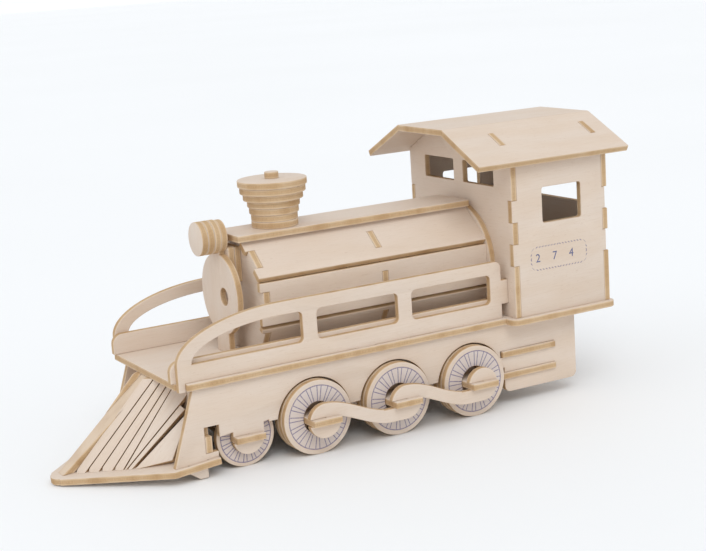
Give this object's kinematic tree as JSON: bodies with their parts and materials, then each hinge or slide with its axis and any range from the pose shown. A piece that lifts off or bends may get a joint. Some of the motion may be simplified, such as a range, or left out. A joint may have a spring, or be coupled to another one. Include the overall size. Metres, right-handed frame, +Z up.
{
  "type": "wooden jigsaw locomotive model",
  "caption": "Slot-together plywood model of a steam locomotive with railings, a stepped chimney, a roofed cab and wheels that spin on flat axle strips.",
  "frame": {"origin": "on the floor under the middle of the model, at the centre of its bounding box seen from above", "axes": "+X to the rear (the engine faces -X), +Y to the engine's right-hand side, +Z up"},
  "size_m": [0.2734, 0.097, 0.1288],
  "materials": {
    "birch_ply": "bare, die-cut, with browned edges"
  },
  "bodies": {
    "engine": {"deck": "birch_ply", "rail_left": "birch_ply", "rail_right": "birch_ply", "kerb_left": "birch_ply", "kerb_right": "birch_ply", "side_frame_left": "birch_ply", "side_frame_right": "birch_ply", "inner_frame_left": "birch_ply", "inner_frame_right": "birch_ply", "pilot_base": "birch_ply", "pilot_cross_plate": "birch_ply", "pilot_nose_slat": "birch_ply", "pilot_slats_left": "birch_ply", "pilot_slats_right": "birch_ply", "pilot_cheek_left": "birch_ply", "pilot_cheek_right": "birch_ply", "rear_cross_boards": "birch_ply", "pony_axle_strip": "birch_ply", "driving_strip_front": "birch_ply", "driving_strip_middle": "birch_ply", "driving_strip_rear": "birch_ply", "coupling_rod_left": "birch_ply", "coupling_rod_right": "birch_ply", "boiler_bulkhead_front": "birch_ply", "boiler_bulkhead_middle": "birch_ply", "boiler_flange": "birch_ply", "boiler_top_board": "birch_ply", "boiler_upper_board_left": "birch_ply", "boiler_upper_board_right": "birch_ply", "boiler_side_board_left": "birch_ply", "boiler_side_board_right": "birch_ply", "boiler_lower_board_left": "birch_ply", "boiler_lower_board_right": "birch_ply", "smokebox_door": "birch_ply", "smokebox_spacers": "birch_ply", "lamp_discs": "birch_ply", "chimney_rim": "birch_ply", "chimney_disc_2": "birch_ply", "chimney_disc_3": "birch_ply", "chimney_disc_4": "birch_ply", "chimney_disc_5": "birch_ply", "chimney_disc_6": "birch_ply", "chimney_foot": "birch_ply", "chimney_knob": "birch_ply", "cab_front_wall": "birch_ply", "cab_rear_wall": "birch_ply", "cab_side_left": "birch_ply", "cab_side_right": "birch_ply", "roof_middle": "birch_ply", "roof_slope_left": "birch_ply", "roof_slope_right": "birch_ply"},
    "driving_wheel_left_front": {"driving_wheel_left_front": "birch_ply"},
    "driving_wheel_left_middle": {"driving_wheel_left_middle": "birch_ply"},
    "driving_wheel_left_rear": {"driving_wheel_left_rear": "birch_ply"},
    "pony_wheel_left": {"pony_wheel_left": "birch_ply"},
    "driving_wheel_right_front": {"driving_wheel_right_front": "birch_ply"},
    "driving_wheel_right_middle": {"driving_wheel_right_middle": "birch_ply"},
    "driving_wheel_right_rear": {"driving_wheel_right_rear": "birch_ply"},
    "pony_wheel_right": {"pony_wheel_right": "birch_ply"}
  },
  "joints": [
    {"name": "driving_wheel_left_front_spin", "type": "hinge", "parent": "engine", "child": "driving_wheel_left_front", "pos_m": [-0.03008, -0.0345, 0.0163], "axis": [0, 1, 0], "continuous": true},
    {"name": "driving_wheel_left_middle_spin", "type": "hinge", "parent": "engine", "child": "driving_wheel_left_middle", "pos_m": [0.01032, -0.0345, 0.0163], "axis": [0, 1, 0], "continuous": true},
    {"name": "driving_wheel_left_rear_spin", "type": "hinge", "parent": "engine", "child": "driving_wheel_left_rear", "pos_m": [0.05072, -0.0345, 0.0163], "axis": [0, 1, 0], "continuous": true},
    {"name": "pony_wheel_left_spin", "type": "hinge", "parent": "engine", "child": "pony_wheel_left", "pos_m": [-0.06158, -0.0309, 0.0134], "axis": [0, 1, 0], "continuous": true},
    {"name": "driving_wheel_right_front_spin", "type": "hinge", "parent": "engine", "child": "driving_wheel_right_front", "pos_m": [-0.03008, 0.0345, 0.0163], "axis": [0, 1, 0], "continuous": true},
    {"name": "driving_wheel_right_middle_spin", "type": "hinge", "parent": "engine", "child": "driving_wheel_right_middle", "pos_m": [0.01032, 0.0345, 0.0163], "axis": [0, 1, 0], "continuous": true},
    {"name": "driving_wheel_right_rear_spin", "type": "hinge", "parent": "engine", "child": "driving_wheel_right_rear", "pos_m": [0.05072, 0.0345, 0.0163], "axis": [0, 1, 0], "continuous": true},
    {"name": "pony_wheel_right_spin", "type": "hinge", "parent": "engine", "child": "pony_wheel_right", "pos_m": [-0.06158, 0.0309, 0.0134], "axis": [0, 1, 0], "continuous": true}
  ]
}
